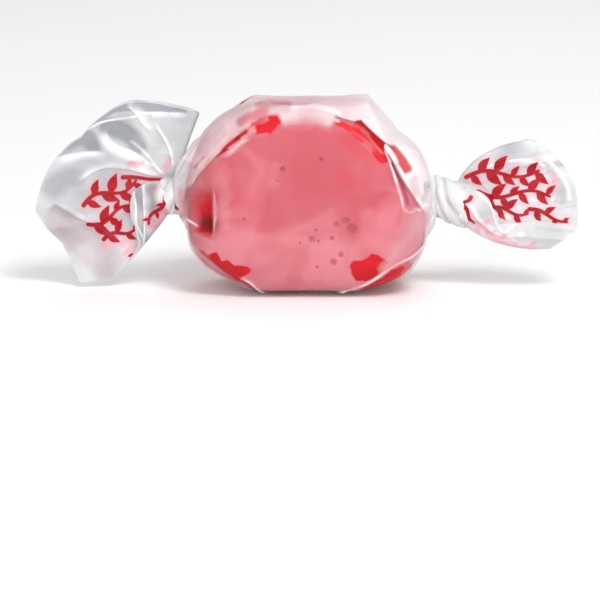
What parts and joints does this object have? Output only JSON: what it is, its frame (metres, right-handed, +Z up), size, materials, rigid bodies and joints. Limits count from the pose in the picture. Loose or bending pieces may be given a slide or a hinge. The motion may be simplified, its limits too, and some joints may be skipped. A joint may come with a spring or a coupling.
{
  "type": "wrapped taffy candy",
  "caption": "Soft pink pulled candy with red stripes along its side, rolled in translucent waxed paper whose two twisted ends fan out.",
  "frame": {"origin": "the middle of the whole piece's footprint, on the surface that it rests on", "axes": "+X along the twists, from the larger fan to the smaller one; +Z up; -Y towards the round face of the candy that the picture shows"},
  "size_m": [0.0592, 0.0178, 0.0208],
  "materials": {
    "pink_taffy": "soft pulled sugar candy, pink, satin and slightly waxy, with small air bubbles",
    "red_taffy": "soft pulled sugar candy, deep red, satin, with uneven edges",
    "waxed_paper": "translucent white waxed paper, creased, glossy at the folds, with a loose red print on both fans"
  },
  "bodies": {
    "root": {"taffy_body": "pink_taffy", "red_stripe_1": "red_taffy", "red_stripe_2": "red_taffy", "red_stripe_3": "red_taffy", "red_stripe_4": "red_taffy", "red_stripe_5": "red_taffy", "wax_paper_wrapper": "waxed_paper"}
  },
  "joints": []
}
